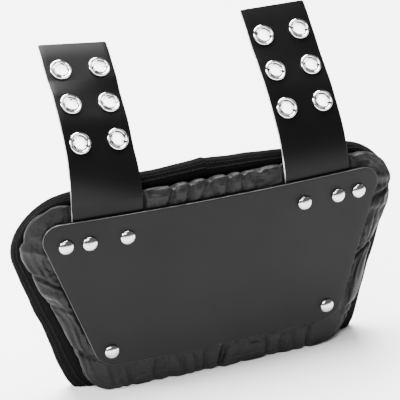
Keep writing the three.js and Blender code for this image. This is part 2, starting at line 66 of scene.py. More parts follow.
camera = put("camera", bpy.data.cameras.new("camera"))
camera.data.sensor_width = SENSOR_WIDTH
camera.data.lens = LENS
camera.data.clip_end = VIEW_LENGTH
camera.location = Vector((0, plate_low.y, plate_low.z)) + CAMERA_FROM_PLATE
camera.rotation_euler = [math.radians(angle) for angle in CAMERA_TURN]
bpy.context.scene.camera = camera

# Back plate
# A trapezoid of satin black plastic sheet with round corners and softened edges, bowed a little round the
# back and riveted over the straps and the pad.
MM = 0.001
PLATE_HEIGHT = 140
PLATE_TOP_WIDTH = 309
PLATE_BOTTOM_WIDTH = 217
PLATE_THICKNESS = 3
PLATE_TOP_RADIUS = 15
PLATE_BOTTOM_RADIUS = 20
PLATE_EDGE_ROUND = 0.7
PLATE_REAR_ROUND = 0.35
BOW_RADIUS = 1667
# Top, bottom, half the width at each, the corners' radii and the top's crown
PLATE_SHAPE = (
    PLATE_HEIGHT, 0, PLATE_TOP_WIDTH / 2, PLATE_BOTTOM_WIDTH / 2, PLATE_TOP_RADIUS, PLATE_BOTTOM_RADIUS, 0
)
# Points across, up each side and round each corner
PLATE_COUNTS = (60, 30, 16)
# The rings of a flat face lie between these shares of its outline, and the rest go round its edges
FACE_MIDDLE = 0.08
FACE_MARGIN = 0.96
FACE_RINGS = 12
EDGE_RINGS = 6
REAR_RINGS = 4


def bowed(x, depth, height):
    """Points given across the plate, behind its bowed face and above its foot, as rows of metres."""
    x, depth, height = np.broadcast_arrays(np.asarray(x, float), depth, height)
    y = plate_low.y + (depth + x**2 / (2 * BOW_RADIUS)) * MM
    return np.stack([x * MM, y, plate_low.z + height * MM], axis=-1)


def trapezoid(shape, counts, inset=0.0):
    """Rows of across, height and outward direction, clockwise round a trapezoid with round corners."""
    top, bottom, half_top, half_bottom, top_radius, bottom_radius, crown = shape
    across, along, corner = counts
    slope = math.atan2(half_top - half_bottom, top - bottom)
    top_z, bottom_z = top - top_radius, bottom + bottom_radius
    top_x = half_top - (top_radius + top_radius * math.sin(slope)) / math.cos(slope)
    bottom_x = half_bottom - (bottom_radius - bottom_radius * math.sin(slope)) / math.cos(slope)
    right = math.pi / 2 + slope
    corners = [
        (top_x, top_z, top_radius, 0, right, along),
        (bottom_x, bottom_z, bottom_radius, right, math.pi, across),
        (-bottom_x, bottom_z, bottom_radius, math.pi, 2 * math.pi - right, along),
        (-top_x, top_z, top_radius, 2 * math.pi - right, 2 * math.pi, across),
    ]
    rows = []
    for index, (x, z, radius, start, end, run) in enumerate(corners):
        for angle in np.linspace(start, end, corner + 1):
            out = np.array([math.sin(angle), math.cos(angle)])
            rows.append([x + radius * out[0], z + radius * out[1], *out])
        ahead = corners[(index + 1) % 4]
        out = np.array([math.sin(end), math.cos(end)])
        first = np.array([x, z]) + radius * out
        last = np.array(ahead[:2]) + ahead[2] * out
        for share in np.linspace(0, 1, run + 1)[1:-1]:
            rows.append([*(first + (last - first) * share), *out])
    rows = np.array(rows)
    share = np.clip((rows[:, 1] - bottom) / (top - bottom), 0, None)
    rows[:, 1] -= crown * share * (rows[:, 0] / half_top) ** 2
    rows[:, :2] -= rows[:, 2:] * inset
    return rows


def skin(name, rings, hoop=False):
    """A mesh through rings of points, closed by a fan at each end, or for a hoop back onto itself."""
    rings = np.asarray(rings)
    bands, count = len(rings), rings.shape[1]
    points = rings.reshape(-1, 3)
    if not hoop:
        points = np.vstack([points, rings[0].mean(0), rings[-1].mean(0)])
    around = np.linalg.norm(np.roll(rings, -1, 1) - rings, axis=2).mean(0)
    around = np.concatenate([[0], np.cumsum(around)])
    outward = np.linalg.norm(np.roll(rings, -1, 0) - rings, axis=2).mean(1)
    outward = np.concatenate([[0], np.cumsum(outward)])
    faces, uvs = [], []
    for band in range(bands if hoop else bands - 1):
        near, far = band * count, (band + 1) % bands * count
        for i in range(count):
            step = (i + 1) % count
            faces.append((near + i, near + step, far + step, far + i))
            low, high = outward[band], outward[band + 1]
            uvs += [(around[i], low), (around[i + 1], low), (around[i + 1], high), (around[i], high)]
    if not hoop:
        last = (bands - 1) * count
        for i in range(count):
            step = (i + 1) % count
            faces.append((len(points) - 2, step, i))
            faces.append((len(points) - 1, last + i, last + step))
            uvs += [(around[i], 0), (around[i + 1], 0), (around[i], 0)]
            uvs += [(around[i], outward[-1]), (around[i], outward[-1]), (around[i + 1], outward[-1])]
    mesh = bpy.data.meshes.new(name)
    mesh.from_pydata(points.tolist(), [], faces)
    layer = mesh.uv_layers.new(name="along")
    layer.data.foreach_set("uv", np.array(uvs, float).ravel())
    shell = bmesh.new()
    shell.from_mesh(mesh)
    bmesh.ops.recalc_face_normals(shell, faces=shell.faces)
    shell.to_mesh(mesh)
    shell.free()
    mesh.shade_smooth()
    return put(name, mesh)


def node(tree, kind, inputs=None, **settings):
    """A node with its settings and inputs: a value is set, and a socket is linked."""
    made = tree.nodes.new(kind)
    for key, value in settings.items():
        setattr(made, key, value)
    for key, value in (inputs or {}).items():
        if isinstance(value, bpy.types.NodeSocket):
            tree.links.new(value, made.inputs[key])
        else:
            made.inputs[key].default_value = value
    return made


def finish(name, color, roughness, specular=0.5, metallic=0.0):
    """A new material, its tree and shader, and the places on the piece that its patterns can follow."""
    material = bpy.data.materials.new(name)
    material.use_nodes = True
    tree = material.node_tree
    shader = tree.nodes["Principled BSDF"]
    shader.inputs["Base Color"].default_value = (*color, 1)
    shader.inputs["Roughness"].default_value = roughness
    shader.inputs["Specular IOR Level"].default_value = specular
    shader.inputs["Metallic"].default_value = metallic
    return material, tree, shader, node(tree, "ShaderNodeTexCoord").outputs


def grain(tree, coordinates, scale, detail=3.0, roughness=0.5):
    """Noise of a scale given per metre."""
    inputs = {"Vector": coordinates, "Scale": scale, "Detail": detail, "Roughness": roughness}
    return node(tree, "ShaderNodeTexNoise", inputs).outputs["Fac"]


def spread(tree, value, low, high, from_low=0.3, from_high=0.7):
    """A value's range turned into another."""
    inputs = {"Value": value, "From Min": from_low, "From Max": from_high, "To Min": low, "To Max": high}
    return node(tree, "ShaderNodeMapRange", inputs).outputs["Result"]


def grey(tree, value):
    """A grey of the given value."""
    return node(tree, "ShaderNodeCombineColor", {"Red": value, "Green": value, "Blue": value}).outputs[0]


def relief(tree, shader, heights):
    """Stacks heights, each with its depth in metres, into the shader's normal."""
    normal = None
    for height, depth in heights:
        inputs = {"Height": height, "Distance": depth, "Strength": 1.0}
        if normal:
            inputs["Normal"] = normal
        normal = node(tree, "ShaderNodeBump", inputs).outputs["Normal"]
    tree.links.new(normal, shader.inputs["Normal"])


def plate_ring(share, inset, depth):
    """A ring of the plate, drawn in towards its middle by a share and then by an inset."""
    rows = trapezoid(PLATE_SHAPE, PLATE_COUNTS, inset)
    middle = PLATE_HEIGHT / 2
    return bowed(rows[:, 0] * share, depth, middle + (rows[:, 1] - middle) * share)


face_shares = np.linspace(FACE_MIDDLE, FACE_MARGIN, FACE_RINGS)
plate_rings = [plate_ring(share, PLATE_EDGE_ROUND, 0) for share in face_shares]
for angle in np.radians(np.linspace(90, 0, EDGE_RINGS)):
    away = 1 - math.cos(angle)
    plate_rings.append(plate_ring(1, PLATE_EDGE_ROUND * away, PLATE_EDGE_ROUND * (1 - math.sin(angle))))
for angle in np.radians(np.linspace(0, 90, REAR_RINGS)):
    depth = PLATE_THICKNESS - PLATE_REAR_ROUND * (1 - math.sin(angle))
    plate_rings.append(plate_ring(1, PLATE_REAR_ROUND * (1 - math.cos(angle)), depth))
plate_rings += [plate_ring(share, PLATE_REAR_ROUND, PLATE_THICKNESS) for share in face_shares[::-1]]
plate = skin("plate", plate_rings)

plate_plastic, tree, shader, place = finish("satin_plate_plastic", (0.0018, 0.0018, 0.0019), 0.5, 0.14)
fine = grain(tree, place["Object"], 2600, 2)
mottle = grain(tree, place["Object"], 14, 4, 0.6)
scuffs = grain(tree, place["Object"], 160, 6, 0.7)
tree.links.new(spread(tree, mottle, 0.46, 0.54), shader.inputs["Roughness"])
relief(tree, shader, [(scuffs, 0.00002), (fine, 0.000012)])

# The rounded front edge is painted a little paler, a painted highlight that shows as a fine line all round the
# front
plate_edge_highlight, tree, shader, place = finish("plate_edge_highlight", (0.05, 0.05, 0.05), 0.3)
relief(tree, shader, [(grain(tree, place["Object"], 700, 3), 0.00006)])
plate.data.materials.append(plate_plastic)
plate.data.materials.append(plate_edge_highlight)
# The bands of the rounded front edge, which take the painted highlight
highlight_bands = range(FACE_RINGS + 2, FACE_RINGS + EDGE_RINGS - 1)
for polygon in plate.data.polygons:
    if polygon.loop_total == 4 and polygon.index // len(plate_rings[0]) in highlight_bands:
        polygon.material_index = 1
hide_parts("back_plate")
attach(plate, "root")

# Straps
# Two strips of black plastic sheet with nearly square ends, punched for the grommets and riveted to the
# plate. Each comes out from behind it, bends back and lies flat at each row of grommets.
STRAP_WIDTH = 59.6
STRAP_THICKNESS = 2.5
STRAP_CENTRE = 92.8
STRAP_TUCK = 33
STRAP_FREE = 156.5
STRAP_FLAT = 10
STRAP_EDGE_ROUND = 0.45
STRAP_CORNER = 1.6
STRAP_CLEARANCE = 0.3
TUCKED_STEP = 4.0
FREE_STEP = 2.0
HOLE_PITCH = 33.5
STRAP_END_MARGIN = 26.2
PUNCHED_HOLE = 12.6
BEND_SAMPLES = 400
STRAP_DEPTH = PLATE_THICKNESS + STRAP_CLEARANCE + (STRAP_WIDTH / 2) ** 2 / (2 * BOW_RADIUS)
UPPER_ROW = STRAP_FREE - STRAP_END_MARGIN
ROWS = [UPPER_ROW, UPPER_ROW - HOLE_PITCH, UPPER_ROW - 2 * HOLE_PITCH]
COLUMNS = [-HOLE_PITCH / 2, HOLE_PITCH / 2]
# The side, the sway across the plate and the straight length, then the lean back and the outward turn at the
# plate, at the three rows of grommets and at the free end, in degrees
STRAPS = {
    "left": (-1, 1.4, 11.6, [(0, 0), (35, -13.4), (50.9, -13.7), (51.9, -9.6), (61.7, -9.6)]),
    "right": (1, -2.8, 2, [(0, 0), (35, 2.2), (44.5, 3.2), (41.7, 1.8), (47.6, 1.8)]),
}


def strap_frame(strap, distance, offset=0.0):
    """Where a strap is at a distance above the plate: a matrix of across, along, outward and the place."""
    side, sway, straight, bends = STRAPS[strap]
    knots = [0, straight]
    leans, turns = [bends[0][0]] * 2, [bends[0][1]] * 2
    for row, (lean, turn) in zip(reversed(ROWS), bends[1:4]):
        knots += [row - STRAP_FLAT, row + STRAP_FLAT]
        leans += [lean] * 2
        turns += [turn] * 2
    knots, leans, turns = knots + [STRAP_FREE], leans + [bends[4][0]], turns + [bends[4][1]]
    travelled = np.linspace(0, max(distance, 0), BEND_SAMPLES)
    lean = np.radians(np.interp(travelled, knots, leans))
    point = Vector((0, np.trapz(np.sin(lean), travelled), np.trapz(np.cos(lean), travelled)))
    point.z += min(distance, 0)
    swing = side * (math.radians(np.interp(max(distance, 0), knots, turns)) + STRAP_CENTRE / BOW_RADIUS)
    up = Vector((0, math.sin(lean[-1]), math.cos(lean[-1])))
    across = Matrix.Rotation(swing, 3, up) @ Vector((1, 0, 0))
    outward = across.cross(up)
    root_out = Vector((side * STRAP_CENTRE / BOW_RADIUS, -1, 0)).normalized()
    turn = Matrix.Rotation(math.radians(-sway), 3, root_out)
    point, across, outward = turn @ point, turn @ across, turn @ outward
    point += across * offset
    root = Vector(bowed(side * STRAP_CENTRE, STRAP_DEPTH, PLATE_HEIGHT))
    place = Matrix((across, outward.cross(across), outward)).transposed().to_4x4()
    place.translation = root + point * MM
    return place


def arc(centre, radii, start, end, count):
    """Points of an elliptical arc in a section, with its angles in degrees."""
    angles = np.radians(np.linspace(start, end, count))
    return [(centre[0] + radii[0] * math.cos(a), centre[1] + radii[1] * math.sin(a)) for a in angles]


def strap_strip(name, strap):
    """The strap's strip, as rings round its section from its tucked end to its free one."""
    rings = []
    rounding = STRAP_CORNER * (1 - np.sin(np.radians(np.linspace(0, 90, 6))))
    stations = [*np.arange(-STRAP_TUCK, 0, TUCKED_STEP), *np.arange(0, STRAP_FREE - STRAP_CORNER, FREE_STEP)]
    stations += list(STRAP_FREE - rounding)
    for station in stations:
        place = strap_frame(strap, station)
        past = max(0, station - (STRAP_FREE - STRAP_CORNER))
        narrowed = STRAP_CORNER - math.sqrt(max(STRAP_CORNER**2 - past**2, 0))
        half = STRAP_WIDTH / 2 - narrowed - STRAP_EDGE_ROUND
        front, rear = -STRAP_EDGE_ROUND, STRAP_EDGE_ROUND - STRAP_THICKNESS
        section = []
        for u, v, start in ((half, front, 90), (half, rear, 0), (-half, rear, -90), (-half, front, -180)):
            section += arc((u, v), (STRAP_EDGE_ROUND, STRAP_EDGE_ROUND), start, start - 90, 4)
            if start in (0, -180):
                turn = math.copysign(1, -u)
                level = -STRAP_THICKNESS if start == 0 else 0
                section += [(turn * half * share, level) for share in np.linspace(-1, 1, 14)[1:-1]]
        rings.append([place @ Vector((u * MM, 0, v * MM)) for u, v in section])
    return skin(name, rings)


strap_plastic, tree, shader, place = finish("black_strap_plastic", (0.0025, 0.0025, 0.0026), 0.36, 0.09)
tree.links.new(spread(tree, grain(tree, place["Object"], 30, 4), 0.33, 0.4), shader.inputs["Roughness"])
waves = grain(tree, place["Object"], 9, 2)
fine = grain(tree, place["Object"], 1800, 2)
relief(tree, shader, [(waves, 0.0006), (fine, 0.00001)])

# The long cut edges are painted pale as a painted highlight, stronger in some places than in others
strap_highlight, tree, shader, place = finish("strap_edge_highlight", (0.5, 0.5, 0.5), 0.3)
highlight_strength = spread(tree, grain(tree, place["Object"], 60, 4, 0.6), 0.2, 0.85, 0.4, 0.6)
tree.links.new(grey(tree, highlight_strength), shader.inputs["Base Color"])


def plain_piece(name, host):
    """What a host and its modifiers make, as one plain mesh in place of the host."""
    bpy.context.view_layer.update()
    mesh = bpy.data.meshes.new_from_object(host.evaluated_get(bpy.context.evaluated_depsgraph_get()))
    mesh.name = name
    bpy.data.objects.remove(host)
    return put(name, mesh)


for strap in STRAPS:
    punches = bmesh.new()
    for row in ROWS:
        for column in COLUMNS:
            bmesh.ops.create_cone(
                punches, cap_ends=True, segments=48, radius1=PUNCHED_HOLE / 2 * MM,
                radius2=PUNCHED_HOLE / 2 * MM, depth=5 * STRAP_THICKNESS * MM,
                matrix=strap_frame(strap, row, column),
            )
    holes = put(f"{strap}_holes", bpy.data.meshes.new(f"{strap}_holes"))
    punches.to_mesh(holes.data)
    punches.free()
    strip = strap_strip(f"{strap}_strip", strap)
    cut = strip.modifiers.new("punched", "BOOLEAN")
    cut.object, cut.operation, cut.solver = holes, "DIFFERENCE", "EXACT"
    punched = plain_piece(f"{strap}_punched_strap", strip)
    bpy.data.objects.remove(holes)

    punched.data.materials.clear()
    punched.data.materials.append(strap_plastic)
    punched.data.materials.append(strap_highlight)
    # The faces that look sideways and lie at the strip's edges, and not the walls of its holes, take the
    # painted highlight
    foot = strap_frame(strap, 0)
    sideways = foot.col[0].xyz.normalized()
    for polygon in punched.data.polygons:
        if abs(polygon.normal.dot(sideways)) > 0.8 and polygon.area > 1e-8:
            from_middle = abs((foot.inverted() @ polygon.center).x)
            polygon.material_index = int(from_middle > 0.42 * STRAP_WIDTH * MM)
    punched.data.shade_smooth()
    punched.data.set_sharp_from_angle(angle=math.radians(35))
    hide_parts(f"{strap}_strap")
    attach(punched, "root")

# Grommets
# Bright nickel-plated grommets in two columns and three rows. Each has a rolled flange in front with a groove
# inside it, a barrel through the strap, and a plain washer behind that the barrel is rolled over.
GROMMET_RIM = 9.3
GROMMET_ROLL = 1.3
GROMMET_STEP = 6.75
GROMMET_BORE = 4.8
GROMMET_BARREL = 6.0
GROMMET_RISE = 2.1
WASHER_RIM = 8.7
WASHER_RISE = 1.5


def lathe(name, profile, segments):
    """A mesh turned round Z from a profile of radius and height, closed where it meets the axis or itself."""
    angles = np.linspace(0, 2 * math.pi, segments, endpoint=False)
    shape = bmesh.new()
    rings = []
    for radius, height in profile:
        if radius == 0:
            rings.append([shape.verts.new((0, 0, height * MM))])
            continue
        turned = [(radius * math.cos(a) * MM, radius * math.sin(a) * MM, height * MM) for a in angles]
        rings.append([shape.verts.new(point) for point in turned])
    loop = profile[0][0] > 0
    for near, far in zip(rings, rings[1:] + (rings[:1] if loop else [])):
        for i in range(segments):
            step = (i + 1) % segments
            corners = [near[i % len(near)], near[step % len(near)], far[step % len(far)], far[i % len(far)]]
            shape.faces.new(list(dict.fromkeys(corners)))
    bmesh.ops.recalc_face_normals(shape, faces=shape.faces)
    mesh = bpy.data.meshes.new(name)
    shape.to_mesh(mesh)
    shape.free()
    mesh.shade_smooth()
    return put(name, mesh)


def new_tree(name, kinds):
    """A tree with named inputs of the given kinds, the inputs' identifiers, and what they give."""
    tree = bpy.data.node_groups.new(name, "GeometryNodeTree")
    identifiers = {}
    for label, kind in kinds.items():
        socket = tree.interface.new_socket(label, in_out="INPUT", socket_type=f"NodeSocket{kind}")
        identifiers[label] = socket.identifier
    tree.interface.new_socket("Geometry", in_out="OUTPUT", socket_type="NodeSocketGeometry")
    return tree, identifiers, node(tree, "NodeGroupInput").outputs


def end_tree(tree, points, rotation, given):
    """Ends a tree: the piece is set at each point, made real and given its finish."""
    shown = node(tree, "GeometryNodeObjectInfo", {"Object": given["Piece"]})
    inputs = {"Points": points, "Instance": shown.outputs["Geometry"], "Rotation": rotation}
    placed = node(tree, "GeometryNodeInstanceOnPoints", inputs)
    real = node(tree, "GeometryNodeRealizeInstances", {"Geometry": placed.outputs[0]})
    inputs = {"Geometry": real.outputs[0], "Material": given["Finish"]}
    painted = node(tree, "GeometryNodeSetMaterial", inputs)
    tree.links.new(painted.outputs[0], node(tree, "NodeGroupOutput").inputs[0])


def run_tree(name, mesh, tree, identifiers, values):
    """The plain mesh that a tree makes on a mesh with the given values."""
    host = put(f"{name}_host", mesh)
    nodes = host.modifiers.new("nodes", "NODES")
    nodes.node_group = tree
    for label, value in values.items():
        nodes[identifiers[label]] = value
    result = plain_piece(name, host)
    bpy.data.objects.remove(values["Piece"])
    return result


def setting_tree(name):
    """Sets a piece at each point, turned as the point's own turn says and tilted a little at random."""
    tree, identifiers, given = new_tree(name, {
        "Points": "Geometry", "Piece": "Object", "Finish": "Material",
        "Tilt": "Float", "Spin": "Float", "Seed": "Int",
    })
    turn = node(tree, "GeometryNodeInputNamedAttribute", {"Name": "turn"}, data_type="QUATERNION")
    high = node(tree, "ShaderNodeCombineXYZ", {"X": given["Tilt"], "Y": given["Tilt"], "Z": given["Spin"]})
    low = node(tree, "ShaderNodeVectorMath", {0: high.outputs[0], "Scale": -1.0}, operation="SCALE")
    inputs = {"Min": low.outputs[0], "Max": high.outputs[0], "Seed": given["Seed"]}
    chance = node(tree, "FunctionNodeRandomValue", inputs, data_type="FLOAT_VECTOR")
    lean = node(tree, "FunctionNodeEulerToRotation", {0: chance.outputs[0]})
    inputs = {"Rotation": turn.outputs["Attribute"], "Rotate By": lean.outputs[0]}
    rotation = node(tree, "FunctionNodeRotateRotation", inputs, rotation_space="LOCAL")
    end_tree(tree, given["Points"], rotation.outputs[0], given)
    return tree, identifiers


setter, setter_inputs = setting_tree("set_fasteners")


def set_pieces(name, places, piece, material, tilt=0.0, spin=0.0, seed=1):
    """One plain mesh of a piece set at every place, made by the setting tree."""
    cloud = bpy.data.meshes.new(f"{name}_points")
    cloud.from_pydata([place.translation[:] for place in places], [], [])
    turns = cloud.attributes.new("turn", "QUATERNION", "POINT")
    turns.data.foreach_set("value", [value for place in places for value in place.to_quaternion()])
    values = {"Piece": piece, "Finish": material, "Tilt": tilt, "Spin": spin, "Seed": seed}
    return run_tree(name, cloud, setter, setter_inputs, values)


# Painted shade: the nickel's colour is darkened where ambient occlusion finds the groove and the bore
bright_nickel, tree, shader, place = finish("bright_nickel", (0.74, 0.74, 0.74), 0.08, metallic=1.0)
haze = grain(tree, place["Object"], 900, 4, 0.6)
tree.links.new(spread(tree, haze, 0.05, 0.1), shader.inputs["Roughness"])
relief(tree, shader, [(grain(tree, place["Object"], 400, 2), 0.000008)])
painted_hollow_shade = node(tree, "ShaderNodeAmbientOcclusion", {"Distance": 0.0014}, samples=8).outputs["AO"]
tree.links.new(grey(tree, spread(tree, painted_hollow_shade, 0.12, 0.74, 0.35, 0.8)), shader.inputs["Base Color"])

rear = -STRAP_THICKNESS
grommet_profile = [
    (GROMMET_RIM, 0.0),
    *arc((GROMMET_RIM - GROMMET_ROLL, 0.4), (GROMMET_ROLL, GROMMET_RISE - 0.4), 0, 100, 8),
    (GROMMET_STEP, 1.5),
    (GROMMET_STEP - 0.15, 0.25),
    (GROMMET_STEP - 0.6, 0.25),
    *arc((GROMMET_BORE + 0.75, 0.75), (0.75, 0.85), 0, 180, 8),
    (GROMMET_BORE, rear - 0.2),
    *arc((GROMMET_BORE + 0.9, rear - 0.5), (0.9, WASHER_RISE - 0.5), 180, 270, 5),
    (GROMMET_BORE + 2.2, rear - 0.9),
    (WASHER_RIM - 0.4, rear - 0.8),
    (WASHER_RIM, rear - 0.4),
    (WASHER_RIM - 0.2, rear),
    (GROMMET_BARREL, rear),
    (GROMMET_BARREL, 0.0),
]
grommet = lathe("grommet", grommet_profile, 56)
places = [strap_frame(strap, row, column) for strap in STRAPS for row in ROWS for column in COLUMNS]
grommets = set_pieces("grommets", places, grommet, bright_nickel, tilt=0.02, spin=3.0, seed=4)
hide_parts(*[f"{strap}_grommet_{i}" for strap in STRAPS for i in range(1, 7)])
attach(grommets, "root")

# Rivets
# Domed nickel-plated rivets, four on each side: two hold the strap, one the pad's upper corner and one its
# lower corner. Each head is a low dome with a turned-down lip.
RIVET_HEAD = 6.5
RIVET_DOME = 4.0
RIVET_LIP = 0.35
RIVET_SHANK = 2.2
RIVET_LENGTH = 5.5
TOP_RIVET_HEIGHT = PLATE_HEIGHT - 20.5
BOTTOM_RIVET_HEIGHT = 14.5
# How far each rivet is from the plate's middle, and its height
RIVET_PLACES = {
    "inner": (78.6, TOP_RIVET_HEIGHT),
    "outer": (110.3, TOP_RIVET_HEIGHT),
    "upper": (130, TOP_RIVET_HEIGHT),
    "lower": (98.7, BOTTOM_RIVET_HEIGHT),
}
rivet_profile = [
    (0, RIVET_DOME),
    *arc((0, 0.6), (RIVET_HEAD, RIVET_DOME - 0.6), 80, 8, 9),
    *arc((RIVET_HEAD - RIVET_LIP, 0.4), (RIVET_LIP, 0.4), 30, -90, 4),
    (RIVET_SHANK, 0.0),
    (RIVET_SHANK, -RIVET_LENGTH),
    (0, -RIVET_LENGTH),
]

dull_nickel, tree, shader, place = finish("dull_nickel", (0.5, 0.5, 0.5), 0.14, metallic=1.0)
haze = grain(tree, place["Object"], 500, 4, 0.6)
tree.links.new(spread(tree, haze, 0.1, 0.22), shader.inputs["Roughness"])
relief(tree, shader, [(grain(tree, place["Object"], 260, 2), 0.00003)])

rivet = lathe("rivet", rivet_profile, 40)
places = []
for side in (-1, 1):
    for across, height in RIVET_PLACES.values():
        outward = Vector((side * across / BOW_RADIUS, -1, 0)).normalized()
        right = Vector((0, 0, 1)).cross(outward) * -1
        place = Matrix((right, outward.cross(right), outward)).transposed().to_4x4()
        place.translation = Vector(bowed(side * across, 0, height))
        places.append(place)
rivets = set_pieces("rivets", places, rivet, dull_nickel, tilt=0.05, spin=3.0, seed=9)
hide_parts(*[f"{side}_rivet_{name}" for side in ("left", "right") for name in RIVET_PLACES])
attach(rivets, "root")

# Pad cover
# Woven nylon drawn over the foam and gathered by hand into the seam behind its front edge, so that it puffs
# out round the plate in folds. Pressed flat where the pad stands.
PAD_FRONT = PLATE_THICKNESS + 0.4
PAD_REAR = 24.3
# Heights are above the plate's foot, and the floor lies below it
FLOOR = -plate_low.z / MM
COVER_SHAPE = (157, FLOOR, 180.5, 116, 35, 30, 8.5)
EDGE_SHAPE = (165, FLOOR - 12.5, 184, 129.5, 44, 38, 20)
PAD_COUNTS = (150, 80, 22)
SEAM_DEPTH = 14.0
SEAM_TUCK = 5.0
REACH_LENGTH = 20
FOLD_DEPTH = 1.6
RIDGE_DEPTH = 0.5
RIDGE_REACH = 0.3
STRAP_GAP = 0.5
STRAP_RISE = 0.004
STRAP_EASE = 5
COVER_RINGS = 40
HELD_START = 0.06
HELD_END = 0.97
SWELL_FRAMES = 22
SWELL_LIMIT = 3.0
REST_HEIGHT = 0.2


def pad_rows(reach):
    """The pad's outline at a reach: 1 at the plate's outline, 2 at the cover's edge, 3 at the bound edge."""
    stages = [trapezoid(shape, PAD_COUNTS) for shape in (PLATE_SHAPE, COVER_SHAPE, EDGE_SHAPE)]
    if reach < 1:
        rows = stages[0].copy()
        middle = PLATE_HEIGHT / 2
        rows[:, 0] *= reach
        rows[:, 1] = middle + (rows[:, 1] - middle) * reach
        return rows
    stage = min(int(reach), 2) - 1
    return stages[stage] + (stages[stage + 1] - stages[stage]) * (reach - stage - 1)


def pad_ring(reach, inset, depth, out=0.0):
    """A ring of the pad at a reach, drawn in by an inset or let out, and no lower than the floor."""
    rows = pad_rows(reach)
    x = rows[:, 0] + rows[:, 2] * (out - inset)
    height = np.maximum(rows[:, 1] + rows[:, 3] * (out - inset), FLOOR + np.maximum(inset, 0))
    return bowed(x, depth, height)


# The folds that show in the cover: the side that each crosses, where along it, and its slant, depth and
# width. A negative depth is a puff.
FOLDS = [
    ("top", -125, 8, 1.2, 4.0), ("top", -38, 4, 2.2, 3.0), ("top", -22, 3, 2.4, 3.0),
    ("top", -9, 6, 1.6, 2.6), ("top", -1, -4, 1.8, 2.6), ("top", 12, 3, 2.2, 3.0), ("top", 25, 2, 2.0, 2.6),
    ("top", 37, 5, 0.8, 4.0), ("top", 60, 0, 0.6, 6.0), ("top", 133, -6, 1.0, 5.0),
    ("bottom", -99, 4, 1.3, 2.4), ("bottom", -92, 5, 1.3, 2.4), ("bottom", -84, 5, 1.2, 3.0),
    ("bottom", -60, -3, 1.2, 3.5), ("bottom", -50, 4, 1.0, 4.0), ("bottom", -36, 7, 1.4, 3.5),
    ("bottom", -24, 2, 1.0, 3.0), ("bottom", -15, -2, 1.2, 3.0), ("bottom", 1, -7, 2.4, 3.5),
    ("bottom", 18, 2, 0.7, 4.0), ("bottom", 42, 3, 1.0, 3.0), ("bottom", 56, -3, 1.1, 3.0),
    ("bottom", 68, 2, 1.2, 3.0), ("bottom", 82, -4, 1.4, 3.0), ("bottom", 104, 0, -2.2, 16.0),
    ("left", 117, 6, -0.8, 5.0), ("left", 87, 14, 1.3, 3.0), ("left", 73, 8, -0.9, 5.0),
    ("left", 60, 8, 1.0, 2.5), ("left", 10, 12, 1.8, 3.0), ("left", -4, 6, -0.8, 5.0),
    ("right", 126, -4, -0.7, 5.0), ("right", 111, 6, 1.2, 3.0), ("right", 100, 0, -1.0, 5.0),
    ("right", 59, 10, 1.6, 3.0), ("right", 16, 0, -3.2, 24.0), ("right", 4, 8, 1.5, 4.0),
    ("right", -8, 10, 1.2, 4.0),
]


def folds_at(rows, reach):
    """How deep the folds are round a ring. Small ridges run along both sides, and the listed folds cross."""
    beside = np.clip(np.abs(rows[:, 2]) * 1.3 - 0.3, 0, 1)
    drift = 0.1 * np.sin(rows[:, 1] / 17) + 0.06 * np.sin(rows[:, 1] / 7 + 1)
    depth = beside * RIDGE_DEPTH * (1 + np.cos((reach + drift) * 2 * math.pi / RIDGE_REACH)) / 2
    facing = {"left": (-1, 0), "right": (1, 0), "top": (0, 1), "bottom": (0, -1)}
    for side, at, slant, deep, width in FOLDS:
        out = facing[side]
        share = np.clip(rows[:, 2] * out[0] + rows[:, 3] * out[1], 0, 1) ** 2
        run = rows[:, 1] if out[0] else rows[:, 0]
        depth += share * deep * np.exp(-(((run - at - slant * (reach - 1.5)) / width) ** 2))
    return depth


def under_straps(points):
    """Presses the cover back where a strap lies on it, and less and less just beside the strap."""
    past_side = np.abs(np.abs(points[:, 0]) / MM - STRAP_CENTRE) - STRAP_WIDTH / 2
    height = (points[:, 2] - plate_low.z) / MM - PLATE_HEIGHT
    rear = PLATE_THICKNESS + STRAP_THICKNESS + STRAP_GAP + np.clip(height, 0, None) ** 2 * STRAP_RISE
    beside = np.clip(past_side / STRAP_EASE, 0, 1) ** 2 * STRAP_EASE
    below = np.clip((-height - STRAP_TUCK) / STRAP_EASE, 0, 1) * STRAP_EASE
    bow = (points[:, 0] / MM) ** 2 / (2 * BOW_RADIUS)
    least = plate_low.y + (rear - (beside + below) + bow) * MM
    points[:, 1] = np.maximum(points[:, 1], least)
    return points


# The cover's section from behind the plate to the seam: reach, inset, and depth behind the pad's front
section = np.array([
    (0.93, 0, 0), (1.0, 0, 0), (1.08, 0, -0.3), (1.3, 0, -0.9), (1.6, 0, -0.9), (1.85, 0, 0.4),
    (1.96, 0, 1.4), (2.0, 0, 2.8), (2.0, 0.2, 4.8), (2.0, 0.9, 7.0), (2.0, 2.6, 9.4),
    (2.0, SEAM_TUCK, SEAM_DEPTH - PAD_FRONT),
])
lengths = [math.hypot(step[0] * REACH_LENGTH, step[1], step[2]) for step in np.diff(section, axis=0)]
along = np.concatenate([[0], np.cumsum(lengths)]) / sum(lengths)
cover_rings = [under_straps(pad_ring(reach, 0, PAD_FRONT)) for reach in (0.1, 0.35, 0.6, 0.75, 0.85)]
loose = [False] * len(cover_rings)
for share in np.linspace(0, 1, COVER_RINGS):
    reach, inset, depth = (np.interp(share, along, section[:, i]) for i in range(3))
    rows = pad_rows(reach)
    # The folds die away where the cover is held, behind the plate and at the seam
    hold = math.sin(math.pi * min(1, share * 1.02)) ** 0.7
    fold = folds_at(rows, reach) * hold * FOLD_DEPTH
    # On the front a fold sinks backwards, and round the edge it draws in, least along the bottom
    front = math.cos(min(1, max(0, (reach - 1.6) / 0.4)) * math.pi / 2)
    outward = -fold * (1 - front) * (0.8 - 0.6 * np.clip(-rows[:, 3], 0, 1))
    ring = pad_ring(reach, inset, PAD_FRONT + depth + fold * max(front, 0.35), out=outward)
    cover_rings.append(under_straps(ring))
    loose.append(HELD_START <= share <= HELD_END)
front_rings = len(cover_rings)
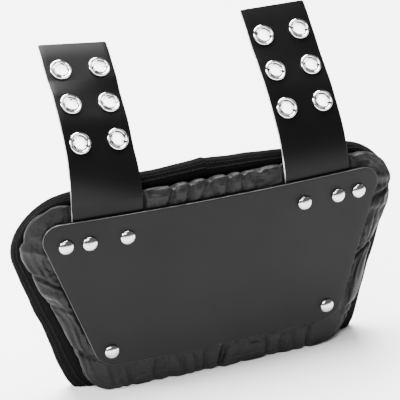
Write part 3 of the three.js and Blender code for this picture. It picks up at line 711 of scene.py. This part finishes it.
# Behind the seam the cover closes round the foam, out of sight
for reach, inset, depth in (
    (2.0, 6.5, 17.0), (2.0, 6.5, 21.0), (1.8, 0, PAD_REAR), (1.2, 0, PAD_REAR), (0.7, 0, PAD_REAR),
    (0.35, 0, PAD_REAR), (0.1, 0, PAD_REAR),
):
    cover_rings.append(pad_ring(reach, inset, depth))
    loose.append(False)
cover = skin("pad_cover", cover_rings)

# The foam pushes the loose cloth out, and its gathers buckle between the rings that are sewn or held down
ring_size = len(cover_rings[0])
points = np.zeros(len(cover.data.vertices) * 3)
cover.data.vertices.foreach_get("co", points)
points = points.reshape(-1, 3)
sewn = cover.vertex_groups.new(name="sewn")
for index, is_loose in enumerate(loose):
    if not is_loose:
        sewn.add(list(range(index * ring_size, (index + 1) * ring_size)), 1.0, "REPLACE")
sewn.add([len(points) - 2, len(points) - 1], 1.0, "REPLACE")
swell = cover.modifiers.new("swell", "CLOTH")
cloth = swell.settings
cloth.quality = 6
cloth.mass = 0.12
cloth.tension_stiffness = cloth.compression_stiffness = 18
cloth.shear_stiffness = 6
cloth.bending_stiffness = 0.02
cloth.vertex_group_mass = "sewn"
cloth.shrink_min = -0.06
cloth.use_pressure = True
cloth.uniform_pressure_force = 2.0
cloth.effector_weights.gravity = 0
swell.point_cache.frame_start = 1
swell.point_cache.frame_end = SWELL_FRAMES + 2
for step in range(1, SWELL_FRAMES + 1):
    bpy.context.scene.frame_set(step)
settled = cover.evaluated_get(bpy.context.evaluated_depsgraph_get()).data
moved = np.zeros(len(points) * 3)
settled.vertices.foreach_get("co", moved)
shift = moved.reshape(-1, 3) - points
far = np.linalg.norm(shift, axis=1, keepdims=True)
limit = SWELL_LIMIT * MM
points += shift * np.tanh(far / limit) * limit / np.maximum(far, 1e-9)
under_straps(points[: ring_size * front_rings])
points[:, 2] = np.maximum(points[:, 2], REST_HEIGHT * MM)
cover.modifiers.remove(swell)
cover.data.vertices.foreach_set("co", points.ravel())
bpy.context.scene.frame_set(1)

cover_nylon, tree, shader, place = finish("gathered_nylon", (0.0042, 0.0042, 0.0043), 0.48, 0.18)
shader.inputs["Sheen Weight"].default_value = 0.02
shader.inputs["Sheen Roughness"].default_value = 0.4
warp = node(tree, "ShaderNodeTexWave", {"Vector": place["UV"], "Scale": 900.0}, bands_direction="X")
weft = node(tree, "ShaderNodeTexWave", {"Vector": place["UV"], "Scale": 900.0}, bands_direction="Y")
inputs = {0: warp.outputs["Fac"], 1: weft.outputs["Fac"]}
threads = node(tree, "ShaderNodeMath", inputs, operation="MULTIPLY").outputs[0]
crinkle = grain(tree, place["Object"], 220, 4, 0.55)
rumple = grain(tree, place["Object"], 70, 3, 0.5)
relief(tree, shader, [(rumple, 0.0016), (crinkle, 0.0005), (threads, 0.00004)])
cover.data.materials.append(cover_nylon)
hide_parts("pad_front")
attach(cover, "root")

# Binding
# A folded band of ribbed tape, sewn round the pad's outer edge over the flange of the cover and the back
# panel. Its end laps over its start at the middle of the top.
TAPE_THICKNESS = 1.1
TAPE_LIP = 9
TAPE_REAR = 28.2
LAP_AT = -2
LAP_LENGTH = 60
LAP_RISE = 1.6
EDGE_DEPTH = 20.5
# The rings of the tape's outer face, which waves and laps while its inside stays
OUTER_FACE = range(2, 12)
# The tape waves a little round the edge: waves in a round, their size and their phase
TAPE_WAVES = [(5, 0.5, 0.4), (9, 0.45, 2.1), (17, 0.3, 4.0), (29, 0.2, 1.0)]

edge_rows = trapezoid(EDGE_SHAPE, PAD_COUNTS)
turn = np.linspace(0, 2 * math.pi, len(edge_rows), endpoint=False)
wave = sum(size * np.sin(cycles * turn + phase) for cycles, size, phase in TAPE_WAVES)
# The lap rises along the top and ends in a step
lap = np.clip((edge_rows[:, 0] - LAP_AT + LAP_LENGTH) / LAP_LENGTH, 0, 1)
lap *= (edge_rows[:, 0] < LAP_AT) * (edge_rows[:, 3] > 0.9) * LAP_RISE
# Reach, inset and depth, from the seam round the bound edge to the lip, and back inside the tape
tape_section = [
    (2.05, 4.2, SEAM_DEPTH + 1.6), (2.2, 2.4, 15.6), (2.5, 1.4, 17.4), (2.8, 0.8, 19.4), (3, 0.5, EDGE_DEPTH),
    (3, 0, EDGE_DEPTH + 1.2), (3, -0.2, 23.5), (3, -0.2, 25.5), (3, 0.1, 27.2), (3, 1.0, TAPE_REAR),
    (3, 3, TAPE_REAR + 0.2), (3, TAPE_LIP - 0.5, TAPE_REAR + 0.2), (3, TAPE_LIP, TAPE_REAR - 0.4),
    (3, TAPE_LIP, TAPE_REAR - TAPE_THICKNESS), (3, 2, TAPE_REAR - TAPE_THICKNESS),
    (3, 1.4, 24), (3, 1.8, EDGE_DEPTH + 1.4), (2.5, 2.6, 18.8), (2.1, 4.4, SEAM_DEPTH + 2.8),
]
tape_rings = []
for index, (reach, inset, depth) in enumerate(tape_section):
    outer = index in OUTER_FACE
    swing = wave * (0.4 if reach < 2.6 else 1.0)
    tape_rings.append(pad_ring(reach, inset, depth + swing * 0.4, out=(swing + lap) * outer))
tape = skin("binding", tape_rings, hoop=True)
smooth = tape.modifiers.new("rounded", "SUBSURF")
smooth.levels = smooth.render_levels = 1

binding_tape, tree, shader, place = finish("ribbed_tape", (0.0022, 0.0022, 0.0023), 0.85, 0.05)
ribs = node(tree, "ShaderNodeTexWave", {"Vector": place["UV"], "Scale": 260.0, "Distortion": 0.4})
rumple = grain(tree, place["Object"], 120, 4, 0.6)
relief(tree, shader, [(rumple, 0.0012), (ribs.outputs["Fac"], 0.00018)])
tape.data.materials.append(binding_tape)
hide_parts("pad_binding")
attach(tape, "root")

# Stitching
# Two rows of heavy black thread through the tape and the flange: one runs straight, and the other is
# worked over the tape's front edge in slanted stitches.
THREAD_RADIUS = 0.36
STITCH_HALF = 1.25
STITCH_LIFT = 0.15
LOWEST_STITCH = 0.6
SLANT_SPREAD = 0.12


def stitching_tree(name):
    """Lays a stitch at every step along a line, slanted about the line's own outward direction."""
    tree, identifiers, given = new_tree(name, {
        "Line": "Geometry", "Piece": "Object", "Finish": "Material",
        "Pitch": "Float", "Slant": "Float", "Seed": "Int",
    })
    curve = node(tree, "GeometryNodeMeshToCurve", {"Mesh": given["Line"]})
    inputs = {"Curve": curve.outputs[0], "Length": given["Pitch"]}
    even = node(tree, "GeometryNodeResampleCurve", inputs, mode="LENGTH")
    tangent = node(tree, "GeometryNodeInputTangent").outputs[0]
    outward = node(tree, "GeometryNodeInputNamedAttribute", {"Name": "outward"}, data_type="FLOAT_VECTOR")
    inputs = {2: -SLANT_SPREAD, 3: SLANT_SPREAD, "Seed": given["Seed"]}
    chance = node(tree, "FunctionNodeRandomValue", inputs, data_type="FLOAT")
    slant = node(tree, "ShaderNodeMath", {0: given["Slant"], 1: chance.outputs[1]}, operation="ADD")
    ahead = node(tree, "FunctionNodeAlignRotationToVector", {"Vector": tangent}, axis="Z")
    inputs = {"Axis": outward.outputs["Attribute"], "Angle": slant.outputs[0]}
    about = node(tree, "FunctionNodeAxisAngleToRotation", inputs)
    inputs = {"Rotation": ahead.outputs[0], "Rotate By": about.outputs[0]}
    rotation = node(tree, "FunctionNodeRotateRotation", inputs, rotation_space="GLOBAL")
    end_tree(tree, even.outputs[0], rotation.outputs[0], given)
    return tree, identifiers


thread, tree, shader, place = finish("thread", (0.006, 0.006, 0.0062), 0.8, 0.12)
relief(tree, shader, [(grain(tree, place["Object"], 2400, 2), 0.00008)])

stitch_profile = [
    (0, STITCH_HALF),
    (THREAD_RADIUS * 0.8, STITCH_HALF * 0.85),
    (THREAD_RADIUS, STITCH_HALF * 0.4),
]
stitch_profile += [(radius, -height) for radius, height in reversed(stitch_profile)]
stitcher, stitcher_inputs = stitching_tree("sew_row")
outwards = np.stack([edge_rows[:, 2], np.full(len(edge_rows), -0.35), edge_rows[:, 3]], axis=-1)
outwards /= np.linalg.norm(outwards, axis=1, keepdims=True)
# The ring of the tape that each row follows, and its pitch, slant and seed
for name, band, pitch, slant, seed in (("running", 3, 3.1, 0.0, 3), ("edging", 2, 2.1, 0.75, 5)):
    row = np.asarray(tape_rings[band]) + outwards * STITCH_LIFT * MM
    row[:, 2] = np.maximum(row[:, 2], LOWEST_STITCH * MM)
    line = bpy.data.meshes.new(f"{name}_line")
    line.from_pydata(row.tolist(), [(i, (i + 1) % len(row)) for i in range(len(row))], [])
    line.attributes.new("outward", "FLOAT_VECTOR", "POINT").data.foreach_set("vector", outwards.ravel())
    stitch = lathe(f"{name}_stitch", stitch_profile, 8)
    values = {"Piece": stitch, "Finish": thread, "Pitch": pitch * MM, "Slant": slant, "Seed": seed}
    stitches = run_tree(f"{name}_stitches", line, stitcher, stitcher_inputs, values)
    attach(stitches, "root")

# Back panel
# The side that lies on the wearer: a foam panel under knitted mesh cloth, crowned in the middle and held
# all round by the binding.
PANEL_FRONT = 25.2
PANEL_CROWN = 8.2
front_face = ((0.1, 0), (0.6, 0), (1.2, 0), (3, 4))
panel_rings = [pad_ring(reach, inset, PANEL_FRONT) for reach, inset in front_face]
# From the panel's edge, under the tape, to the crown
for reach, inset, rise in (
    (3, 4, 1.2), (3, 7, 2.6), (3, 9.2, 3.2), (3, 11, 4.4), (3, 14, 5.6), (2.0, 6, 6.3), (1.4, 0, 7.0),
    (1.0, 0, 7.5), (0.8, 0, 7.8), (0.55, 0, 8.0), (0.3, 0, 8.15), (0.08, 0, PANEL_CROWN),
):
    panel_rings.append(pad_ring(reach, inset, PANEL_FRONT + rise))
panel = skin("back_panel", panel_rings)

panel_cloth, tree, shader, place = finish("knitted_mesh_cloth", (0.004, 0.004, 0.0042), 0.85, 0.05)
cells = node(tree, "ShaderNodeTexVoronoi", {"Vector": place["Object"], "Scale": 420.0, "Randomness": 0.25})
relief(tree, shader, [(grain(tree, place["Object"], 40, 3), 0.002), (cells.outputs["Distance"], 0.0006)])
panel.data.materials.append(panel_cloth)
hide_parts("pad_back")
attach(panel, "root")

# Floor
# A wide sheet of matte white board that the plate stands on, so large that the photograph's view shows no
# edge of it.
FLOOR_HALF = 6
board = bpy.data.meshes.new("floor")
corners = [(-1, -1), (1, -1), (1, 1), (-1, 1)]
board.from_pydata([(x * FLOOR_HALF, y * FLOOR_HALF, 0) for x, y in corners], [], [(0, 1, 2, 3)])
floor = put("floor", board)
white_board, tree, shader, place = finish("white_board", (0.93, 0.93, 0.93), 0.9)
relief(tree, shader, [(grain(tree, place["Object"], 300, 2), 0.0001)])
board.materials.append(white_board)

# Light
# A bright white studio. A large soft light above and behind the plate lights the floor, one on the left
# picks out the edges and folds, and weak ones at the front and the right fill in. The room is an even grey.
TARGET = Vector((0, 0, 0.1))
world = bpy.data.worlds.new("studio")
bpy.context.scene.world = world
world.use_nodes = True
room = world.node_tree.nodes["Background"]
room.inputs["Color"].default_value = (1, 1, 1, 1)
room.inputs["Strength"].default_value = 0.22


def softbox(name, place, size, power):
    """A square area light at a place, facing the plate."""
    lamp = bpy.data.lights.new(name, "AREA")
    lamp.shape = "SQUARE"
    lamp.size = size
    lamp.energy = power
    box = put(name, lamp)
    box.location = place
    box.rotation_euler = (TARGET - Vector(place)).to_track_quat("-Z", "Y").to_euler()


softbox("left", (-3.0, 0.1, 2.0), 1.2, 205)
softbox("right", (3.0, 0.8, 1.9), 1.2, 12)
softbox("above", (0.0, 1.1, 2.9), 2.4, 640)
softbox("front", (-1.2, -1.5, 2.1), 1.5, 75)
